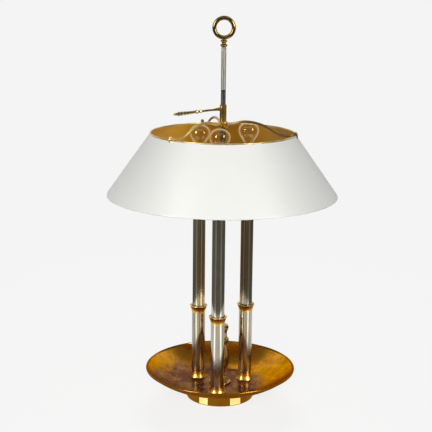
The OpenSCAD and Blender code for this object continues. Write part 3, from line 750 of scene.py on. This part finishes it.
def arm_path():
    """Centre line of an arm in its own upright plane, as (distance from the rod, z, heading) points, and
    its point over the shade's rim."""
    hub_r, hub_z = radius("spider_hub"), middle("spider_hub").z
    rim_z = high("shade_rim")
    path = [(hub_r - ARM_INSIDE_HUB, hub_z, 0.0), (hub_r + ARM_STRAIGHT, hub_z, 0.0)]
    path += level_bend(path[-1], ARM_CREST[0], hub_z + ARM_CREST[1], 0.5, 14)
    path += level_bend(path[-1], SHADE_TOP_R - ARM_DIP[0], rim_z - ARM_DIP[1], 0.66, 18)
    path += level_bend(path[-1], SHADE_TOP_R + ARM_OVER_RIM[0], rim_z + ARM_TIP + ARM_OVER_RIM[1], 0.7, 10)
    top = path[-1]
    path += arc_path(top, HOOK, HOOK_TURN, 12)
    r, z, heading = path[-1]
    path.append((r + HOOK * math.cos(heading), z + HOOK * math.sin(heading), heading))
    return path, top


def make_arm(i):
    """S-curved wire that tapers from the hub and hooks over the shade's edge, with a small ball there."""
    turn = math.radians(FIRST_ARM + ARM_STEP * (i - 1))
    across = Vector((math.cos(turn), math.sin(turn), 0))
    path, top = arm_path()
    points = [across * r + Vector((0, 0, z)) for r, z, _ in path]
    last = len(points) - 1
    sizes = []
    for k in range(last + 1):
        size = ARM_ROOT + (ARM_TIP - ARM_ROOT) * max(k - 1, 0) / (last - 1)
        sizes.append(size * min(1.0, 0.6 + 0.1 * (last - k)))
    arm = wire(f"spider_arm_wire_{i}", points, sizes, finishes["arm_brass"], 20)
    ball = [(0, -KNOB)] + bead(0, 0, KNOB, -80, 80, 14) + [(0, KNOB)]
    knob = lathe(f"spider_knob_{i}", ball, finishes["arm_brass"], segments=32)
    centre = across * (top[0] + KNOB_SHIFT[0]) + Vector((0, 0, top[1] + KNOB_SHIFT[1]))
    knob.data.transform(Matrix.Translation(centre))
    place(joined(f"spider_arm_wire_{i}", [arm, knob]), "shade", "slider_brass", f"spider_arm_{i}")


def make_hub():
    """Ring of the spider, with rounded edges."""
    base, top, wide = low("spider_hub"), high("spider_hub"), radius("spider_hub")
    outline = [(HUB_BORE, base)] + eased([
        (wide - 2 * MM, base), (wide, base + 2 * MM), (wide, top - 2 * MM), (wide - 2.5 * MM, top),
    ]) + [(HUB_BORE, top)]
    piece = lathe("hub_turning", outline, finishes["slider_brass"], segments=96)
    place(piece, "shade", "slider_brass", "spider_hub")


for i in TRIO:
    make_arm(i)
make_hub()


# ---- Key ----

KEY_TURN = math.radians(-134)
KEY_SHAFT = 2.1 * MM
KEY_STARTS = (4.9 * MM, 11.3 * MM, 57.8 * MM, 75.8 * MM)  # of root, shaft, beads and feathers, from the rod
KEY_SHORTER = 1.6 * MM
FEATHER_SHORTER = 1.5 * MM
FEATHER_WIDTH = 4.4 * MM
FEATHER_ROOT, FEATHER_EDGE = 0.68 * MM, 0.25 * MM
BARBS = 7
BARB = ((0, 0.5), (0.35, 0.82), (0.76, 1.0), (0.86, 0.5))  # shares of a barb's length and width


def feather_edge(start, end):
    """Toothed edge of a feather, as (distance from the rod, width) points."""
    def width(u):
        return FEATHER_WIDTH * (0.68 + 0.39 * u if u < 0.82 else 1 - 3.3 * (u - 0.82))

    edge = []
    for k in range(BARBS):
        for along, share in BARB:
            u = (k + along) / BARBS
            edge.append((start + (end - start) * u, width(u) * share))
    return edge + [(end, width(1))]


def make_feather(edge, quarter):
    """One of four feathers: a wedge, thick at the shaft and thin at its toothed edge."""
    turn = math.pi / 2 * quarter
    out = Vector((math.cos(turn), math.sin(turn), 0))
    across = Vector((-math.sin(turn), math.cos(turn), 0))
    verts, faces = [], []
    for z, r in edge:
        for x, y in ((0, FEATHER_ROOT), (r, FEATHER_EDGE), (r, -FEATHER_EDGE), (0, -FEATHER_ROOT)):
            verts.append(out * x + across * y + Vector((0, 0, z)))
    last = len(edge) - 1
    for k in range(last):
        for c in range(4):
            n = (c + 1) % 4
            faces.append((k * 4 + c, k * 4 + n, (k + 1) * 4 + n, (k + 1) * 4 + c))
    faces += [(3, 2, 1, 0), (last * 4, last * 4 + 1, last * 4 + 2, last * 4 + 3)]
    return finish_mesh("feather", verts, faces, finishes["key_brass"], sharp=30)


def make_key():
    """Arrow-shaped key: tapered root, two beads, a slim shaft and four barbed feathers."""
    lo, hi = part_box("arrow_key")
    reach = Vector((lo.x, lo.y)).length - KEY_SHORTER
    tip, root, beads, feathers = KEY_STARTS
    end, point = reach - FEATHER_SHORTER, reach - 0.1 * MM

    def on_beads(share):
        return beads + (feathers - beads) * share

    shaft = KEY_SHAFT
    outline = [(0, tip)] + eased([
        (shaft, tip), (shaft, root), (shaft + 1 * MM, root + 1 * MM), (shaft, root + 16 * MM), (shaft, beads),
        (shaft + 1.1 * MM, on_beads(0.16)), (shaft, on_beads(0.42)), (shaft + 1.5 * MM, on_beads(0.76)),
        (shaft, feathers), (shaft - 0.2 * MM, end - 2 * MM), (shaft - 0.8 * MM, point),
    ]) + [(0, point)]
    parts = [lathe("key_arrow", outline, finishes["key_brass"], segments=48)]
    edge = feather_edge(feathers, end)
    parts += [make_feather(edge, quarter) for quarter in range(4)]
    key = joined("key_arrow", parts)
    key.data.transform(Matrix.Translation((0, 0, (lo.z + hi.z) / 2)) @ Matrix.Rotation(KEY_TURN, 4, "Z")
                       @ Matrix.Rotation(math.pi / 2, 4, "Y"))
    place(key, "key", "slider_brass", "arrow_key")


make_key()


# ---- Bulbs ----

GLASS = 0.6 * MM
CROWN = 17 * MM
TAPER = 32 * MM
NECK = 7.3 * MM
STEM = 2.0 * MM
STEM_UNDER = 7 * MM
FILAMENT = (8.5 * MM, 3.5 * MM)  # half its length, and its height over the ball's centre
COIL = 0.45 * MM
COIL_TURNS = 26
COIL_BULGE = 1.6 * MM


def make_envelope(i, at):
    """Blown glass of a bulb: a rounded crown that tapers into the neck, with an inner skin."""
    node = f"bulb_glass_{i}"
    ball_r, widest = radius(node), high(node) - CROWN
    crown = [(ball_r * math.sin(math.pi / 2 * t), widest + CROWN * math.cos(math.pi / 2 * t))
             for t in shares(32)]
    taper = [(NECK + (ball_r - NECK) * (1 + math.cos(math.pi * t)) / 2, widest - TAPER * t)
             for t in shares(32)[1:]]
    path = with_headings(crown + taper + [(NECK, low(node))])
    outline = sheet_outline(path, GLASS)
    outer, inner = outline[:len(path)][::-1], outline[len(path):][::-1]
    skins = [lathe(f"bulb_envelope_{i}", outer, finishes["bulb_glass"], at, closed=False, segments=96),
             lathe("inner_skin", inner, finishes["bulb_glass_inside"], at, closed=False, segments=96)]
    place(joined(f"bulb_envelope_{i}", skins), "base", "bulb_glass", node)


def make_stem(i, at, base, top):
    """Glass mount in a bulb: a flange in the neck and a slim stem with a rounded end."""
    flange = NECK - GLASS - 0.3 * MM
    outline = [(0, base), (flange, base), (flange, base + 1 * MM)]
    outline += eased([(flange - 0.9 * MM, base + 2 * MM), (STEM, base + 8 * MM), (STEM * 0.8, top - 3 * MM)])
    outline += bead(0, top - 1.6 * MM, STEM, -20, 80) + [(0, top + 0.4 * MM)]
    piece = lathe(f"bulb_stem_{i}", outline, finishes["stem_glass"], at, segments=32)
    place(piece, "base", "bulb_glass", "bulb_mounts")


def make_filament(i, ball):
    """Coiled filament of a bulb with its two leads and its support. Ball is the centre of the bulb's ball."""
    def points(*offsets):
        return [ball + Vector(offset) for offset in offsets]

    reach, height = FILAMENT
    wires = []
    for side in (-1, 1):
        lead = points((side * 0.6 * MM, 0, -9 * MM), (side * 2.4 * MM, 0, -5 * MM),
                      (side * reach * 0.85, 0, 0), (side * reach, 0, height))
        wires.append(wire(f"bulb_lead_{i}", lead, 0.28 * MM, finishes["filament"], 8))
    support = points((0, 0, -STEM_UNDER), (0, 0.6 * MM, -2 * MM), (0, 0, height + COIL_BULGE))
    wires.append(wire(f"bulb_support_{i}", support, 0.18 * MM, finishes["filament"], 8))
    coil = []
    for t in shares(10 * COIL_TURNS):
        a = 2 * math.pi * COIL_TURNS * t
        bulge = COIL_BULGE * (1 - (2 * t - 1) ** 2)
        coil.append((reach * (2 * t - 1), COIL * math.cos(a), height + bulge + COIL * math.sin(a)))
    wires.append(wire(f"bulb_coil_{i}", points(*coil), 0.12 * MM, finishes["filament"], 6))
    place(joined(f"bulb_filament_{i}", wires), "base", "contact_brass")


for i in TRIO:
    bulb = f"bulb_glass_{i}"
    centre = middle(bulb)
    centre.z = high(bulb) - radius(bulb)
    make_envelope(i, centre.to_2d())
    make_stem(i, centre.to_2d(), low(bulb), centre.z - STEM_UNDER)
    make_filament(i, centre)


# ---- Studio ----
# Azimuths are in degrees from the camera's side, and distances in metres from the lamp's axis.

BACKDROP = 0.905
FLOOR_GLOW = 0.80
FLOOR_SIZE = 30.0
WORLD_LIGHT = 0.13
FOOT_EDGE = 69.5 * MM
FOOT_CARD_R = 71.5 * MM
FOOT_CARD_TOP = 19.0 * MM
FOOT_SHADE = (0.33, 0.19, 0.05)
CARD_START = 0.27
CARD_SPREAD = 13
CARD_LIFT = 1.2 * MM
TABLE_EDGE = 0.635
ROOM = 2.5
ROOM_TOP = 2.9
TALL_CARD = (0.32, 0.6)
TALL_CARD_AT = (1.9, 1.3)
BULBS_Z = 0.53
# Azimuth of each side's cards, and of the ends of its strip round the foot
SIDES = (("left", -47, -39, -22), ("right", 48, 18.5, 39))
FILLS = (("fill_front", -3, 1.15, 61), ("fill_back", 180, 1.6, 44))  # azimuth, height and power
FILL_SIZE = (1.4, 1.0)
FILL_DISTANCE = 2.6
LAMP_MIDDLE = 0.35


def studio_white():
    """World: white behind the object for camera, mirror and glass rays, and soft light for the rest."""
    s = Shader("studio", "World")
    light = s.node("ShaderNodeBackground", {"Color": (1, 0.995, 0.985), "Strength": WORLD_LIGHT})
    white = s.node("ShaderNodeBackground", {"Color": (BACKDROP, BACKDROP, BACKDROP)})
    bpy.context.scene.world = s.finish(s.blend(s.seen(), light, white))


def make_floor():
    """Pale floor that melts into the backdrop and keeps a soft shadow round the foot."""
    s = Shader("studio_floor")
    grain = s.noise(3, 2, 0.5)
    far = s.rescale(s.from_axis(), 0.25, 1.3)
    near = s.mix(grain, (0.19, 0.19, 0.19), (0.18, 0.18, 0.18))
    cloth = s.node("ShaderNodeBsdfDiffuse", {"Color": s.mix(far, near, (0.0, 0.0, 0.0))})
    level = s.rescale(far, 0.0, 1.0, FLOOR_GLOW, BACKDROP)
    strength = s.maths("MULTIPLY", s.seen(), level)
    glow = s.node("ShaderNodeEmission", {"Color": (1, 1, 1), "Strength": strength})
    both = s.tree.nodes.new("ShaderNodeAddShader")
    s.tree.links.new(cloth.outputs[0], both.inputs[0])
    s.tree.links.new(glow.outputs[0], both.inputs[1])
    corners = [(x * FLOOR_SIZE, y * FLOOR_SIZE, 0) for x, y in ((-1, -1), (1, -1), (1, 1), (-1, 1))]
    floor = finish_mesh("floor", corners, [(0, 1, 2, 3)], s.finish(both))


def mirrored_only(piece):
    """A card or cloth that stands outside the picture and only shows in polished metal."""
    for kind in ("camera", "diffuse", "transmission", "shadow", "volume_scatter"):
        setattr(piece, f"visible_{kind}", False)


def glowing(name, colour, behind=None):
    """Even glow for a card or cloth, with another colour on its back where one is given."""
    s = Shader(name)
    tone = s.mix(s.noise(2, 2, 0.5), colour, tuple(0.94 * c for c in colour))
    if behind:
        tone = s.mix(s.backfacing(), tone, behind)
    return s.finish(s.node("ShaderNodeEmission", {"Color": tone, "Strength": 1.0}))


def around(distance, azimuth, z):
    """Point at a distance from the lamp's axis, towards an azimuth."""
    a = math.radians(azimuth - 90)
    return Vector((distance * math.cos(a), distance * math.sin(a), z))


def sector(name, distances, azimuths, heights, material, steps=24):
    """Part of a ring or wall between two azimuths, from an inner to an outer distance and height."""
    verts, faces = [], []
    for t in shares(steps):
        azimuth = azimuths[0] + (azimuths[1] - azimuths[0]) * t
        verts += [around(distance, azimuth, z) for distance, z in zip(distances, heights)]
    for k in range(steps):
        faces.append((2 * k, 2 * k + 1, 2 * k + 3, 2 * k + 2))
    mirrored_only(finish_mesh(name, verts, faces, material))


def tall_card(name, azimuth, material):
    """Upright oval that faces the bulbs."""
    centre = around(TALL_CARD_AT[0], azimuth, TALL_CARD_AT[1])
    facing = (Vector((0, 0, BULBS_Z)) - centre).to_track_quat("Z", "Y")
    wide, tall = TALL_CARD
    rim = [centre + facing @ Vector((wide * math.cos(a), tall * math.sin(a), 0))
           for a in (2 * math.pi * t for t in shares(40)[:-1])]
    mirrored_only(finish_mesh(name, rim, [list(range(len(rim)))], material))


def make_room():
    """What polished metal sees: a pale table, light cards on it, dark cloths round the camera's side and
    overhead, and strips of light round the foot, which show in it as upright squares."""
    dark = glowing("dark_cloth", (0.16, 0.155, 0.13))
    overhead = glowing("cloth_overhead", (0.20, 0.185, 0.165))
    panel = glowing("light_overhead", (1.05, 1.03, 1.0))
    shaded = glowing("foot_shade", FOOT_SHADE)
    sector("dark_floor", (TABLE_EDGE, ROOM), (-150, 150), (0.8 * MM, 0.8 * MM), dark, 60)
    sector("dark_wall", (ROOM, ROOM), (-118, 118), (0.0, ROOM_TOP), dark, 48)
    sector("dark_ceiling", (0.02, ROOM), (-180, 180), (ROOM_TOP, ROOM_TOP), overhead, 48)
    sector("light_overhead", (0.8, ROOM), (-75, 75), (ROOM_TOP - 0.02, ROOM_TOP - 0.02), panel, 32)
    sector("foot_shade", (FOOT_EDGE, CARD_START), (-180, 180), (0.4 * MM, 0.4 * MM), shaded, 64)
    near = glowing("card_near", (2.8, 2.75, 2.7))
    far = glowing("card_far", (0.34, 0.33, 0.32))
    tall = glowing("card_box", (16.0, 16.0, 15.0))
    strip = glowing("card_foot", (1.9, 2.1, 3.4), FOOT_SHADE)
    flat = (CARD_LIFT, CARD_LIFT)
    for side, azimuth, foot_from, foot_to in SIDES:
        spread = (azimuth - CARD_SPREAD, azimuth + CARD_SPREAD)
        sector(f"card_near_{side}", (CARD_START, TABLE_EDGE), spread, flat, near)
        sector(f"card_far_{side}", (TABLE_EDGE, ROOM - 0.05), spread, flat, far)
        tall_card(f"card_box_{side}", azimuth, tall)
        sector(f"card_foot_{side}", (FOOT_CARD_R, FOOT_CARD_R), (foot_from, foot_to),
               (0.0, FOOT_CARD_TOP), strip)


def softbox(name, azimuth, z, power):
    """Upright soft light that faces the lamp and doesn't show in metal."""
    light = bpy.data.lights.new(name, "AREA")
    light.shape = "RECTANGLE"
    light.size, light.size_y = FILL_SIZE
    light.energy = power
    lamp = bpy.data.objects.new(name, light)
    lamp.location = around(FILL_DISTANCE, azimuth, z)
    lamp.rotation_euler = (Vector((0, 0, LAMP_MIDDLE)) - lamp.location).to_track_quat("-Z", "Y").to_euler()
    lamp.visible_glossy = False
    bpy.context.scene.collection.objects.link(lamp)


studio_white()
make_floor()
make_room()
for fill in FILLS:
    softbox(*fill)


# ---- Camera: the photograph's viewpoint, fitted to the lamp's real size ----

LENS = 88.34
SENSOR = 36
CAMERA_AT = (-11.5 * MM, -2032.9 * MM, 838.75 * MM)
CAMERA_PITCH = math.radians(12.905)
CAMERA_ROLL = math.radians(0.62)

camera = bpy.data.cameras.new("camera")
camera.lens = LENS
camera.sensor_width = SENSOR
view = bpy.data.objects.new("camera", camera)
turn = Matrix.Rotation(math.pi / 2 - CAMERA_PITCH, 4, "X") @ Matrix.Rotation(CAMERA_ROLL, 4, "Z")
view.matrix_world = Matrix.Translation(CAMERA_AT) @ turn
bpy.context.scene.collection.objects.link(view)
bpy.context.scene.camera = view
bpy.context.scene.view_settings.view_transform = "Standard"
